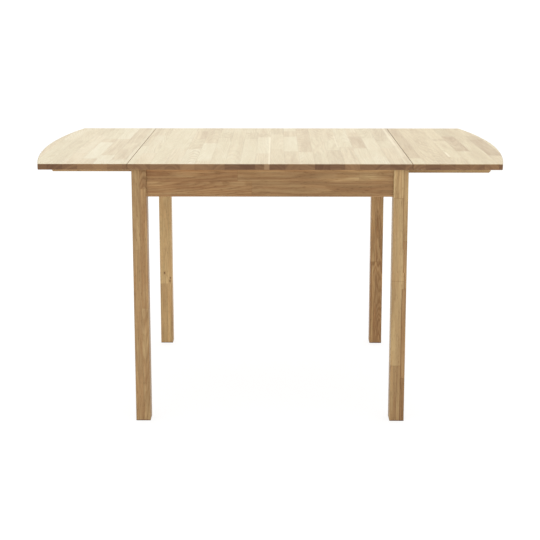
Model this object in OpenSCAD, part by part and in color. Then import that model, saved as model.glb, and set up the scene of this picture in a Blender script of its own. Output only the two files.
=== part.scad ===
/* [Table top] */
// Length of the fixed centre top, along X
top_len = 800; // [700:1:1000]
// Depth of the table top, along Y
top_depth = 800; // [740:1:950]
// Thickness of the boards of the top and the leaves
top_thick = 17; // [16:0.5:26]
// Height of the table top above the floor
table_height = 760; // [680:1:800]
// Radius of the eased edge of the boards, on the outside of the table
edge_r = 2.4; // [1:0.1:4]
// Radius of the small eased edge at the seams
seam_r = 0.9; // [0.5:0.1:2]

/* [End leaves] */
// Length of a leaf on the table's centre line
leaf_len = 295; // [270:1:360]
// Length of a leaf at its front and rear edge
leaf_side_len = 251; // [235:1:265]
// Gap at the seam between the centre top and a leaf
seam_gap = 0.8; // [0.3:0.1:1.2]
// Diameter of the locating dowels
dowel_d = 8; // [6:0.5:10]
// Length of a dowel outside the leaf
dowel_out = 24; // [12:1:30]
// Length of a dowel inside the leaf
dowel_in = 30; // [20:1:40]
// Distance from the front and rear edges of the top to the outer dowels
dowel_inset = 160; // [100:1:250]

/* [Legs and aprons] */
// Width of a square leg
leg_w = 42; // [38:0.5:60]
// Distance from the edge of the centre top to the outer face of a leg
overhang = 10; // [4:0.5:30]
// Radius of the eased edges of a leg
leg_r = 2; // [1:0.1:4]
// Height of the aprons
apron_h = 79; // [70:1:110]
// Thickness of the aprons
apron_t = 20; // [18:0.5:26]
// Set-back of an apron from the outer face of the legs
apron_setback = 5; // [2:0.5:8]
// Radius of the eased lower edges of an apron
apron_r = 1.5; // [0.5:0.1:3]
// Thickness of the cross rail under the middle of the top
rail_t = 20; // [16:0.5:40]
// Height of the cross rail
rail_h = 60; // [44:1:68]

/* [Sliding bars] */
// Width of a sliding bar
bar_w = 20; // [16:0.5:24]
// Height of a sliding bar
bar_h = 20.6; // [16:0.1:22]
// Length that a bar stands out of the end apron when drawn out
bar_reach = 248; // [200:1:255]
// Length of a bar that stays past the middle of the table
bar_tail = 24; // [21:0.5:40]
// Travel of a bar from drawn out to pushed in
bar_travel = 240; // [150:1:242]
// Distance from the edge of the top to the front of the outer bar
bar_inset = 83; // [82:0.5:120]
// Gap between the two bars that lie side by side
bar_gap = 1; // [0.5:0.1:3]
// Clearance beside a bar in its notch
bar_side_clear = 0.4; // [0.3:0.05:0.8]
// Clearance above a bar, under the top and the leaf
bar_top_clear = 0.3; // [0.2:0.05:0.6]
// Size of the bevel at the lower outer end of a bar
bar_bevel = 5; // [2:0.5:8]
// Diameter of the stop pins under the bars
pin_d = 8; // [5:0.5:9]
// Length of a stop pin below its bar
pin_out = 11; // [8:0.5:16]
// Length of a stop pin inside its bar
pin_in = 12; // [8:0.5:14]
// Gap between a stop pin and the cross rail at the end of the travel
stop_clear = 0.3; // [0.2:0.05:1]

/* [Corner plates] */
// Thickness of the pressed steel of the corner plates
plate_t = 2; // [1.5:0.1:3]
// Height of a corner plate
plate_h = 44; // [36:1:46]
// Distance from the apron corner to where the plate turns off an apron
plate_turn = 58; // [50:1:66]
// Length of the plate's flange along an apron
plate_flange = 28; // [22:1:40]
// Depth of the plate's lip in the groove of the apron
plate_lip = 7; // [4:0.5:10]
// Clearance round the lip in its groove
lip_clear = 0.2; // [0.1:0.05:0.5]
// Distance from the lower edge of the apron to the plate
plate_lift = 7; // [5:0.5:10]
// Width of the flat cut on the inner corner of a leg, measured along a face
leg_flat = 10; // [7:0.5:14]
// Diameter of the hanger bolts
bolt_d = 8; // [6:0.5:9]
// Length of a hanger bolt inside the leg
bolt_in = 26; // [18:1:30]
// Length of a hanger bolt past the plate
bolt_out = 15; // [12:1:22]
// Width across flats of the nuts
nut_af = 13; // [12:0.5:15]
// Height of a nut with its flange
nut_h = 8; // [7:0.5:10]
// Diameter of the flange of a nut
nut_flange_d = 18; // [17:0.5:22]
// Diameter of the screw holes in the steel pieces
screw_d = 4.2; // [3:0.1:5]

/* [Top brackets] */
// Thickness of the steel of the angle brackets
bracket_t = 2; // [1.5:0.1:3]
// Length of each side of an angle bracket
bracket_side = 28; // [22:1:34]
// Width of an angle bracket
bracket_w = 25; // [20:1:34]
// Distance from the middle of the table to the brackets on the long aprons
bracket_x = 180; // [100:1:230]
// Length of the slot that lets the top swell and shrink
bracket_slot = 8; // [4:0.5:10]

/* [Fits] */
// Radial clearance of dowels, pins and bolts in their bores
bore_clear = 0.05; // [0.02:0.01:0.1]
// Extra depth at the bottom of a blind bore
bore_extra = 2; // [1:0.5:4]

/* [Hidden] */
$fn = 96;

oak = "burlywood";
dark_oak = "peru";
steel = "lightsteelblue";

// Length by which a cutting shape runs past the face that it cuts
over = 1;
// Levels, from the floor
under_top = table_height - top_thick;
apron_bottom = under_top - apron_h;
bar_top = under_top - bar_top_clear;
bar_bottom = bar_top - bar_h;
notch_floor = bar_bottom;
rail_bottom = under_top - rail_h;
plate_bottom = apron_bottom + plate_lift;
bolt_z = plate_bottom + plate_h / 2;
board_mid = under_top + top_thick / 2;
// Places along X and Y, from the middle of the table
half_len = top_len / 2;
half_depth = top_depth / 2;
dowel_pitch = half_depth - dowel_inset;
leg_out_x = half_len - overhang;
leg_out_y = half_depth - overhang;
leg_in_x = leg_out_x - leg_w;
leg_in_y = leg_out_y - leg_w;
apron_out_x = leg_out_x - apron_setback;
apron_out_y = leg_out_y - apron_setback;
apron_in_x = apron_out_x - apron_t;
apron_in_y = apron_out_y - apron_t;
bar_end = apron_out_x + bar_reach;
bar_inner = -bar_tail;
bar_outer_lane = half_depth - bar_inset - bar_w / 2;
bar_inner_lane = bar_outer_lane - bar_w - bar_gap;
out_stop_x = -rail_t / 2 - stop_clear - pin_d / 2;
in_stop_x = rail_t / 2 + stop_clear + pin_d / 2 + bar_travel;
// The round end of a leaf: rise of the curve and its radius
bow = leaf_len - leaf_side_len;
leaf_radius = (half_depth * half_depth + bow * bow) / (2 * bow);
leaf_end = half_len + leaf_len;
leaf_inner = half_len + seam_gap;
// The corner plate, measured from the meeting point of the inner apron faces
leg_corner_a = leg_in_x - apron_in_x;
leg_corner_b = leg_in_y - apron_in_y;
flat_sum = -leg_corner_a - leg_corner_b - leg_flat;
flat_s = flat_sum / sqrt(2);
web_s = plate_turn / sqrt(2);
fold = plate_t * (sqrt(2) - 1);
plate_end = plate_turn + plate_flange;

// A rectangle with four round corners, radius a below and b above, standing on y = 0
module soft_rect(w, h, a, b) {
    union() {
        translate([-w / 2 + a, 0]) square([w - 2 * a, a]);
        translate([-w / 2 + b, h - b]) square([w - 2 * b, b]);
        translate([-w / 2, a]) square([w, h - a - b]);
        for (s = [-1, 1]) {
            translate([s * (w / 2 - a), a]) circle(a);
            translate([s * (w / 2 - b), h - b]) circle(b);
        }
    }
}

// A profile in X and Z drawn along Y, centred
module along_y(l) {
    translate([0, l / 2, 0]) rotate([90, 0, 0]) linear_extrude(l) children();
}

// A profile in Y and Z drawn along X, centred
module along_x(l) {
    translate([-l / 2, 0, 0]) rotate([90, 0, 90]) linear_extrude(l) children();
}

module rod_x(d, x0, x1) {
    translate([x0, 0, 0]) rotate([0, 90, 0]) cylinder(h = x1 - x0, d = d);
}

module centre_top() {
    color(oak) difference() {
        intersection() {
            translate([0, 0, under_top]) along_x(top_len + 2 * over)
                soft_rect(top_depth, top_thick, edge_r, edge_r);
            translate([0, 0, under_top]) along_y(top_depth + 2 * over)
                soft_rect(top_len, top_thick, seam_r, seam_r);
        }
        for (sx = [-1, 1], ky = [-1, 0, 1])
            translate([0, ky * dowel_pitch, board_mid]) scale_x(sx)
                rod_x(dowel_d + 2 * bore_clear, leaf_inner - dowel_out - bore_extra,
                      half_len + over);
    }
}

// Mirrors what it holds to the other end of the table when s is -1
module scale_x(s) {
    mirror([s < 0 ? 1 : 0, 0, 0]) children();
}

// Mirrors what it holds to the rear of the table when s is 1
module side_y(s) {
    mirror([0, s > 0 ? 1 : 0, 0]) children();
}

// Grooves for the lips of the corner plates, at both ends of an apron along X
module long_apron() {
    difference() {
        translate([0, -apron_out_y + apron_t / 2, apron_bottom]) intersection() {
            along_x(2 * leg_in_x) soft_rect(apron_t, apron_h, apron_r, 0.01);
            translate([-leg_in_x, -apron_t / 2, 0]) cube([2 * leg_in_x, apron_t, apron_h]);
        }
        for (s = [-1, 1])
            translate([s * (apron_in_x - plate_end + plate_t / 2),
                       -apron_in_y - plate_lip - lip_clear, plate_bottom - lip_clear])
                translate([-plate_t / 2 - lip_clear, 0, 0])
                    cube([plate_t + 2 * lip_clear, plate_lip + lip_clear + over,
                          plate_h + 2 * lip_clear]);
    }
}

// The apron under an end of the table, with a notch for each bar of that end
module end_apron(lane) {
    difference() {
        translate([apron_out_x - apron_t / 2, 0, apron_bottom])
            along_y(2 * leg_in_y) soft_rect(apron_t, apron_h, apron_r, 0.01);
        for (s = [-1, 1]) {
            translate([apron_in_x - over, s * lane - bar_w / 2 - bar_side_clear, notch_floor])
                cube([apron_t + 2 * over, bar_w + 2 * bar_side_clear,
                      under_top - notch_floor + over]);
            translate([apron_in_x - over,
                       s * (apron_in_y - plate_end + plate_t / 2) - plate_t / 2 - lip_clear,
                       plate_bottom - lip_clear])
                cube([plate_lip + lip_clear + over, plate_t + 2 * lip_clear,
                      plate_h + 2 * lip_clear]);
        }
    }
}

module apron_front() {
    color(oak) long_apron();
}

module apron_rear() {
    color(oak) side_y(1) long_apron();
}

module apron_right() {
    color(oak) end_apron(bar_outer_lane);
}

module apron_left() {
    color(oak) scale_x(-1) end_apron(bar_inner_lane);
}

// The rail under the middle, with a shared notch for the pair of bars on each side
module cross_rail() {
    notch_w = 2 * bar_w + bar_gap + 2 * bar_side_clear;
    notch_mid = (bar_outer_lane + bar_inner_lane) / 2;
    color(oak) difference() {
        translate([-rail_t / 2, -apron_in_y, rail_bottom]) cube([rail_t, 2 * apron_in_y, rail_h]);
        for (s = [-1, 1])
            translate([-rail_t / 2 - over, s * notch_mid - notch_w / 2, notch_floor])
                cube([rail_t + 2 * over, notch_w, under_top - notch_floor + over]);
    }
}

// A leg at the right front corner: square with eased edges, a flat and a bore for its bolt
module leg() {
    color(oak) difference() {
        translate([leg_out_x - leg_w / 2, -leg_out_y + leg_w / 2, 0]) intersection() {
            translate([0, -leg_w / 2, -over]) linear_extrude(under_top + over)
                soft_rect(leg_w, leg_w, leg_r, leg_r);
            along_x(leg_w + 2 * over) soft_rect(leg_w, under_top, leg_r, 0.01);
            along_y(leg_w + 2 * over) soft_rect(leg_w, under_top, leg_r, 0.01);
        }
        translate([apron_in_x, -apron_in_y, plate_bottom - lip_clear]) rotate([0, 0, 135])
            translate([flat_s, -leg_w, 0])
                cube([leg_w, 2 * leg_w, under_top - plate_bottom + lip_clear + over]);
        translate([apron_in_x, -apron_in_y, bolt_z]) rotate([0, 0, 135])
            rod_x(bolt_d + 2 * bore_clear, flat_s - bolt_in - bore_extra, flat_s + over);
    }
}

// A corner plate at the right front corner: web across the corner, flanges and lips
module corner_plate() {
    color(steel) translate([apron_in_x, -apron_in_y, 0]) difference() {
        translate([0, 0, plate_bottom]) linear_extrude(plate_h) polygon([
            [-plate_end, -plate_lip], [-plate_end + plate_t, -plate_lip],
            [-plate_end + plate_t, 0], [-plate_turn, 0],
            [0, plate_turn], [0, plate_end - plate_t],
            [plate_lip, plate_end - plate_t], [plate_lip, plate_end],
            [-plate_t, plate_end], [-plate_t, plate_turn + fold],
            [-plate_turn - fold, plate_t], [-plate_end, plate_t]
        ]);
        translate([0, 0, bolt_z]) rotate([0, 0, 135])
            rod_x(bolt_d + 2 * bore_clear, web_s - over, web_s + plate_t + over);
        for (k = [-1, 1]) {
            translate([-plate_turn - plate_flange / 2, plate_t + over, bolt_z + k * plate_h / 4])
                rotate([90, 0, 0]) cylinder(h = plate_t + 2 * over, d = screw_d);
            translate([-plate_t - over, plate_turn + plate_flange / 2, bolt_z + k * plate_h / 4])
                rotate([0, 90, 0]) cylinder(h = plate_t + 2 * over, d = screw_d);
        }
    }
}

module hanger_bolt() {
    color(steel) translate([apron_in_x, -apron_in_y, bolt_z]) rotate([0, 0, 135])
        rod_x(bolt_d, flat_s - bolt_in, web_s + plate_t + bolt_out);
}

// A hexagon nut with a round flange that draws the leg to the plate
module nut() {
    flange_h = nut_h / 4;
    color("silver") translate([apron_in_x, -apron_in_y, bolt_z]) rotate([0, 0, 135])
        translate([web_s + plate_t, 0, 0]) rotate([0, 90, 0]) difference() {
            union() {
                cylinder(h = flange_h, d = nut_flange_d);
                cylinder(h = nut_h, d = nut_af / cos(30), $fn = 6);
            }
            translate([0, 0, -over]) cylinder(h = nut_h + 2 * over, d = bolt_d + 2 * bore_clear);
        }
}

// An angle bracket in the corner of x = 0 and z = 0, with its sides along -X and -Z
module bracket() {
    color(steel) difference() {
        translate([0, bracket_w / 2, 0]) rotate([90, 0, 0]) linear_extrude(bracket_w) union() {
            translate([-bracket_side, -bracket_t]) square([bracket_side, bracket_t]);
            translate([-bracket_t, -bracket_side]) square([bracket_t, bracket_side]);
        }
        for (k = [-1, 1])
            translate([-bracket_t - over, k * bracket_w / 4, -bracket_side * 0.64])
                rotate([0, 90, 0]) cylinder(h = bracket_t + 2 * over, d = screw_d);
        translate([-bracket_side * 0.58, 0, -bracket_t - over])
            linear_extrude(bracket_t + 2 * over) union() {
                translate([-screw_d / 2, -bracket_slot / 2]) square([screw_d, bracket_slot]);
                translate([0, -bracket_slot / 2]) circle(d = screw_d);
                translate([0, bracket_slot / 2]) circle(d = screw_d);
            }
    }
}

module front_bracket(sx, sy) {
    translate([sx * bracket_x, sy * apron_in_y, under_top]) rotate([0, 0, sy * 90]) bracket();
}

module end_bracket(s) {
    scale_x(s) translate([apron_in_x, 0, under_top]) bracket();
}

// A sliding bar, drawn out to the right, with bores for its two stop pins
module bar() {
    bore_top = bar_bottom + pin_in + bore_extra;
    color(dark_oak) difference() {
        translate([0, bar_w / 2, 0]) rotate([90, 0, 0]) linear_extrude(bar_w)
            polygon([[bar_inner, bar_bottom], [bar_end - bar_bevel, bar_bottom],
                     [bar_end, bar_bottom + bar_bevel], [bar_end, bar_top], [bar_inner, bar_top]]);
        for (x = [out_stop_x, in_stop_x])
            translate([x, 0, bar_bottom - over])
                cylinder(h = bore_top - bar_bottom + over, d = pin_d + 2 * bore_clear);
    }
}

module stop_pin(x) {
    color(dark_oak) translate([x, 0, bar_bottom - pin_out]) cylinder(h = pin_out + pin_in, d = pin_d);
}

// Puts a bar or a pin in its lane: s is the end of the table, f is front or rear
module in_lane(s, f, lane) {
    scale_x(s) translate([0, f * lane, 0]) children();
}

// A leaf on the right: straight front and rear edges, a round end and a straight seam edge
module leaf() {
    color(oak) difference() {
        intersection() {
            translate([leaf_end - leaf_len, 0, under_top]) along_x(2 * leaf_len + 2 * over)
                soft_rect(top_depth, top_thick, edge_r, edge_r);
            translate([leaf_inner + leaf_len, 0, under_top]) along_y(top_depth + 2 * over)
                soft_rect(2 * leaf_len, top_thick, seam_r, seam_r);
            translate([leaf_end - leaf_radius, 0, under_top]) rotate_extrude($fn = 720) union() {
                square([leaf_radius - edge_r, top_thick]);
                translate([0, edge_r]) square([leaf_radius, top_thick - 2 * edge_r]);
                translate([leaf_radius - edge_r, edge_r]) circle(edge_r, $fn = 96);
                translate([leaf_radius - edge_r, top_thick - edge_r]) circle(edge_r, $fn = 96);
            }
        }
        for (ky = [-1, 0, 1])
            translate([0, ky * dowel_pitch, board_mid])
                rod_x(dowel_d + 2 * bore_clear, leaf_inner - over,
                      leaf_inner + dowel_in + bore_extra);
    }
}

module dowel(s, ky) {
    color(dark_oak) scale_x(s) translate([0, ky * dowel_pitch, board_mid])
        rod_x(dowel_d, leaf_inner - dowel_out, leaf_inner + dowel_in);
}

centre_top();
apron_front();
apron_rear();
apron_left();
apron_right();
cross_rail();
scale_x(-1) leg();  // leg_front_left
leg();  // leg_front_right
scale_x(-1) side_y(1) leg();  // leg_rear_left
side_y(1) leg();  // leg_rear_right
scale_x(-1) corner_plate();  // corner_plate_front_left
corner_plate();  // corner_plate_front_right
scale_x(-1) side_y(1) corner_plate();  // corner_plate_rear_left
side_y(1) corner_plate();  // corner_plate_rear_right
scale_x(-1) hanger_bolt();  // hanger_bolt_front_left
hanger_bolt();  // hanger_bolt_front_right
scale_x(-1) side_y(1) hanger_bolt();  // hanger_bolt_rear_left
side_y(1) hanger_bolt();  // hanger_bolt_rear_right
scale_x(-1) nut();  // nut_front_left
nut();  // nut_front_right
scale_x(-1) side_y(1) nut();  // nut_rear_left
side_y(1) nut();  // nut_rear_right
front_bracket(-1, -1);  // bracket_front_left
front_bracket(1, -1);  // bracket_front_right
front_bracket(-1, 1);  // bracket_rear_left
front_bracket(1, 1);  // bracket_rear_right
end_bracket(-1);  // bracket_end_left
end_bracket(1);  // bracket_end_right
in_lane(1, -1, bar_outer_lane) bar();  // bar_right_front
in_lane(1, 1, bar_outer_lane) bar();  // bar_right_rear
in_lane(-1, -1, bar_inner_lane) bar();  // bar_left_front
in_lane(-1, 1, bar_inner_lane) bar();  // bar_left_rear
in_lane(1, -1, bar_outer_lane) stop_pin(out_stop_x);  // out_stop_right_front
in_lane(1, 1, bar_outer_lane) stop_pin(out_stop_x);  // out_stop_right_rear
in_lane(-1, -1, bar_inner_lane) stop_pin(out_stop_x);  // out_stop_left_front
in_lane(-1, 1, bar_inner_lane) stop_pin(out_stop_x);  // out_stop_left_rear
in_lane(1, -1, bar_outer_lane) stop_pin(in_stop_x);  // in_stop_right_front
in_lane(1, 1, bar_outer_lane) stop_pin(in_stop_x);  // in_stop_right_rear
in_lane(-1, -1, bar_inner_lane) stop_pin(in_stop_x);  // in_stop_left_front
in_lane(-1, 1, bar_inner_lane) stop_pin(in_stop_x);  // in_stop_left_rear
scale_x(-1) leaf();  // leaf_left
leaf();  // leaf_right
dowel(-1, -1);  // dowel_left_front
dowel(-1, 0);  // dowel_left_middle
dowel(-1, 1);  // dowel_left_rear
dowel(1, -1);  // dowel_right_front
dowel(1, 0);  // dowel_right_middle
dowel(1, 1);  // dowel_right_rear
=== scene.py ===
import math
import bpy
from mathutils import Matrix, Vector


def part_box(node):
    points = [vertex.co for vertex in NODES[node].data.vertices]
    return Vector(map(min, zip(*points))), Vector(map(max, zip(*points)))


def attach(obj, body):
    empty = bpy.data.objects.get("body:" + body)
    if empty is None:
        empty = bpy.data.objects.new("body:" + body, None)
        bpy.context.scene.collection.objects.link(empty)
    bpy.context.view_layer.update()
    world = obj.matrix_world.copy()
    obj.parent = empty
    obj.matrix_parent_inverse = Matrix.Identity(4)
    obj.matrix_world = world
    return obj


bl_info = {
    "name": "Extending dining table finish",
    "version": (1, 0, 0),
    "blender": (4, 5, 0),
    "location": "3D View > Sidebar > Table",
    "description": "Oiled oak stave finishes, steel fittings, screws and a studio for the table",
    "category": "Object",
}

from dataclasses import dataclass
from typing import NamedTuple

import bpy
import numpy as np
from mathutils import Matrix, Vector

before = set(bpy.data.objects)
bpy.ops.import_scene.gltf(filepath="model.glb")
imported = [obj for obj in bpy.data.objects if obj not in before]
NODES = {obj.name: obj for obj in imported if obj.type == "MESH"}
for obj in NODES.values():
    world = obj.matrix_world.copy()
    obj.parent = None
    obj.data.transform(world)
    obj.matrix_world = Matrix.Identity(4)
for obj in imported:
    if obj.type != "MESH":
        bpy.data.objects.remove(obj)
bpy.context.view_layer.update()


# Values that a user would change

class OakSettings(bpy.types.PropertyGroup):
    """Sizes and colours of the oiled oak staves."""

    stave_width: bpy.props.FloatProperty(
        name="Stave width", description="Width of the glued staves",
        default=0.0421, min=0.02, max=0.12, precision=4, subtype="DISTANCE", unit="LENGTH")
    stave_length: bpy.props.FloatProperty(
        name="Stave length", description="Usual length of a stave",
        default=0.330, min=0.1, max=1.0, subtype="DISTANCE", unit="LENGTH")
    ring: bpy.props.FloatProperty(
        name="Ring spacing", description="Distance between two growth rings",
        default=0.0026, min=0.001, max=0.01, precision=4, subtype="DISTANCE", unit="LENGTH")
    pale: bpy.props.FloatVectorProperty(
        name="Pale frame wood", description="Colour of the lightest staves of the frame",
        default=(0.664, 0.465, 0.225), size=3, min=0, max=1, subtype="COLOR")
    middle: bpy.props.FloatVectorProperty(
        name="Middle frame wood", description="Colour of the ordinary staves of the frame",
        default=(0.368, 0.228, 0.103), size=3, min=0, max=1, subtype="COLOR")
    deep: bpy.props.FloatVectorProperty(
        name="Deep frame wood", description="Colour of the darkest staves of the frame",
        default=(0.262, 0.142, 0.060), size=3, min=0, max=1, subtype="COLOR")
    # The top colours are lit copies of the wood: painted light makes the upper faces of the top
    # paler than its sides and edges.
    lit_top_pale: bpy.props.FloatVectorProperty(
        name="Pale top wood", description="Colour of the lightest staves of the top",
        default=(0.619, 0.556, 0.398), size=3, min=0, max=1, subtype="COLOR")
    lit_top_middle: bpy.props.FloatVectorProperty(
        name="Middle top wood", description="Colour of the ordinary staves of the top",
        default=(0.544, 0.464, 0.297), size=3, min=0, max=1, subtype="COLOR")
    lit_top_deep: bpy.props.FloatVectorProperty(
        name="Deep top wood", description="Colour of the darkest staves of the top",
        default=(0.345, 0.242, 0.126), size=3, min=0, max=1, subtype="COLOR")
    end_pale: bpy.props.FloatVectorProperty(
        name="Pale end grain", description="Colour of the lightest stave ends",
        default=(0.284, 0.160, 0.071), size=3, min=0, max=1, subtype="COLOR")
    end_deep: bpy.props.FloatVectorProperty(
        name="Deep end grain", description="Colour of the darkest stave ends",
        default=(0.124, 0.056, 0.023), size=3, min=0, max=1, subtype="COLOR")


class SteelSettings(bpy.types.PropertyGroup):
    """Colours of the zinc plated fittings."""

    zinc: bpy.props.FloatVectorProperty(
        name="Zinc", description="Colour of the plated steel",
        default=(0.55, 0.56, 0.57), size=3, min=0, max=1, subtype="COLOR")
    dull: bpy.props.FloatVectorProperty(
        name="Dull zinc", description="Colour of the clouded patches",
        default=(0.38, 0.39, 0.40), size=3, min=0, max=1, subtype="COLOR")


class ScrewSettings(bpy.types.PropertyGroup):
    """Sizes of the pan head screws."""

    head: bpy.props.FloatProperty(
        name="Head diameter", description="Diameter of a screw head",
        default=0.0080, precision=4, subtype="DISTANCE", unit="LENGTH")
    rise: bpy.props.FloatProperty(
        name="Head height", description="Height of a screw head",
        default=0.0026, precision=4, subtype="DISTANCE", unit="LENGTH")
    shank: bpy.props.FloatProperty(
        name="Shank diameter", description="Diameter of a screw below its head",
        default=0.0040, precision=4, subtype="DISTANCE", unit="LENGTH")


class StageSettings(bpy.types.PropertyGroup):
    """The studio and the camera."""

    floor_size: bpy.props.FloatProperty(
        name="Floor size", description="Side of the square floor",
        default=60.0, subtype="DISTANCE", unit="LENGTH")
    floor_white: bpy.props.FloatProperty(
        name="Floor white", description="Paleness of the floor", default=0.93, min=0, max=1)
    dome: bpy.props.FloatProperty(
        name="Dome light", description="Strength of the even light all round", default=0.72)
    overhead: bpy.props.FloatProperty(
        name="Overhead light", description="Extra strength of the light from above", default=0.35)
    backdrop: bpy.props.FloatProperty(
        name="Backdrop light", description="Extra strength of the light from behind", default=0.55)
    front: bpy.props.FloatProperty(
        name="Front light", description="Extra strength of the light from the front", default=0.35)
    panel: bpy.props.FloatProperty(
        name="Panel power", description="Power of the panel above the table, in watts",
        default=20.0)
    eye: bpy.props.FloatVectorProperty(
        name="Eye point", description="Place of the camera",
        default=(0.0193, -3.5923, 1.2629), size=3, subtype="XYZ", unit="LENGTH")
    tilt: bpy.props.FloatProperty(
        name="Tilt", description="How far the camera looks down",
        default=0.17352, subtype="ANGLE", unit="ROTATION")
    turn: bpy.props.FloatProperty(
        name="Turn", description="How far the camera looks to the left",
        default=0.00594, subtype="ANGLE", unit="ROTATION")
    focal: bpy.props.FloatProperty(
        name="Focal length", description="Focal length in millimetres on a 36 mm frame",
        default=1155.52 / 540 * 36)
    shift: bpy.props.FloatProperty(
        name="Shift", description="Vertical lens shift", default=-86.0 / 540)


# Node helpers

class Web:
    """Writes shader nodes from left to right, in lines of twelve."""

    apart, down, per_line = 180, 240, 12

    def __init__(self, tree):
        self.tree = tree
        self.count = 0

    def node(self, kind, **settings):
        n = self.tree.nodes.new(kind)
        line, place = divmod(self.count, self.per_line)
        n.location = (self.apart * place, -self.down * line)
        self.count += 1
        for key, value in settings.items():
            setattr(n, key, value)
        return n

    def feed(self, socket, value):
        if isinstance(value, bpy.types.NodeSocket):
            self.tree.links.new(value, socket)
        elif value is not None:
            socket.default_value = value

    def math(self, operation, a, b=None, c=None, clamp=False):
        n = self.node("ShaderNodeMath", operation=operation, use_clamp=clamp)
        for socket, value in zip(n.inputs, (a, b, c)):
            self.feed(socket, value)
        return n.outputs[0]

    def vector(self, operation, a, b=None):
        n = self.node("ShaderNodeVectorMath", operation=operation)
        self.feed(n.inputs[0], a)
        self.feed(n.inputs[1], b)
        return n.outputs["Value" if operation == "LENGTH" else "Vector"]

    def join(self, x, y, z):
        n = self.node("ShaderNodeCombineXYZ")
        for socket, value in zip(n.inputs, (x, y, z)):
            self.feed(socket, value)
        return n.outputs[0]

    def split(self, v):
        n = self.node("ShaderNodeSeparateXYZ")
        self.feed(n.inputs[0], v)
        return n.outputs

    def chance(self, v):
        """Three even random numbers for each vector."""
        n = self.node("ShaderNodeTexWhiteNoise", noise_dimensions="3D")
        self.feed(n.inputs["Vector"], v)
        return self.split(n.outputs["Color"])

    def noise(self, v, scale, detail=2.0, rough=0.5):
        n = self.node("ShaderNodeTexNoise", noise_dimensions="3D")
        self.feed(n.inputs["Vector"], v)
        n.inputs["Scale"].default_value = scale
        n.inputs["Detail"].default_value = detail
        n.inputs["Roughness"].default_value = rough
        return n.outputs[0]

    def ease(self, value, low, high, a=0.0, b=1.0):
        """a at low and past it, b at high and past it, and smooth between."""
        n = self.node("ShaderNodeMapRange", interpolation_type="SMOOTHSTEP")
        for socket, x in zip(n.inputs, (value, low, high, a, b)):
            self.feed(socket, x)
        return n.outputs[0]

    def ramp(self, value, low, high):
        """0 up to low, 1 from high on, and straight between."""
        n = self.node("ShaderNodeMapRange")
        for socket, x in zip(n.inputs, (value, low, high)):
            self.feed(socket, x)
        return n.outputs[0]

    def mix(self, factor, a, b, blend="MIX"):
        """A mix of two colours, which have sockets 6, 7 and 2 of the node."""
        n = self.node("ShaderNodeMix", data_type="RGBA", blend_type=blend)
        self.feed(n.inputs[0], factor)
        for socket, value in ((n.inputs[6], a), (n.inputs[7], b)):
            plain = not isinstance(value, bpy.types.NodeSocket)
            self.feed(socket, (*value, 1.0) if plain else value)
        return n.outputs[2]


def new_material(name):
    """A new material, its node web and its Principled shader."""
    m = bpy.data.materials.new(name)
    m.use_nodes = True
    web = Web(m.node_tree)
    m.node_tree.nodes.clear()
    out = web.node("ShaderNodeOutputMaterial")
    shader = web.node("ShaderNodeBsdfPrincipled")
    m.node_tree.links.new(shader.outputs[0], out.inputs["Surface"])
    return m, web, shader


# Oak

# Ends of staves that run past the ends of their board, along the depth of the top, along
# the width of the frame and up a leg
FRONT, REAR = -0.410, 0.410
LEFT, RIGHT = -0.400, 0.400
FOOT, HEAD = -0.010, 0.760

# What darkens the wood, as factors of its colour
EARLY_WOOD = (0.55, 0.42, 0.30)
FIBRE = (0.62, 0.52, 0.42)
PORE = (0.30, 0.20, 0.13)
CUT_RINGS = (0.66, 0.58, 0.50)
GLUE = (0.45, 0.34, 0.25)


class Stave(NamedTuple):
    """A given stave: its row, its two ends along the grain, and its look.

    Tone goes from about 0, deep, to about 1, pale, and red from 0, cool, to 1, warm. Figure
    is the strength of the rings. The log holds the place of the pith across the stave and
    below the middle of the board, and its lean along the grain.
    """

    row: int
    low: float
    high: float
    tone: float
    red: float = 0.1
    figure: float = 0.30
    log: tuple = ()


class Surface(NamedTuple):
    """How strongly the parts of the figure show, the cool and warm tints, and the shine."""

    broad: float
    fibre: float
    pore: float
    cool: tuple
    warm: tuple
    shine: float


TOP_FACE = Surface(broad=1.25, fibre=0.20, pore=0.16, cool=(0.990, 1.005, 1.0),
                   warm=(1.010, 0.985, 0.970), shine=0.36)
FRAME_FACE = Surface(broad=0.75, fibre=0.34, pore=0.46, cool=(0.980, 1.010, 1.03),
                     warm=(1.040, 0.965, 0.92), shine=0.20)


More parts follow.
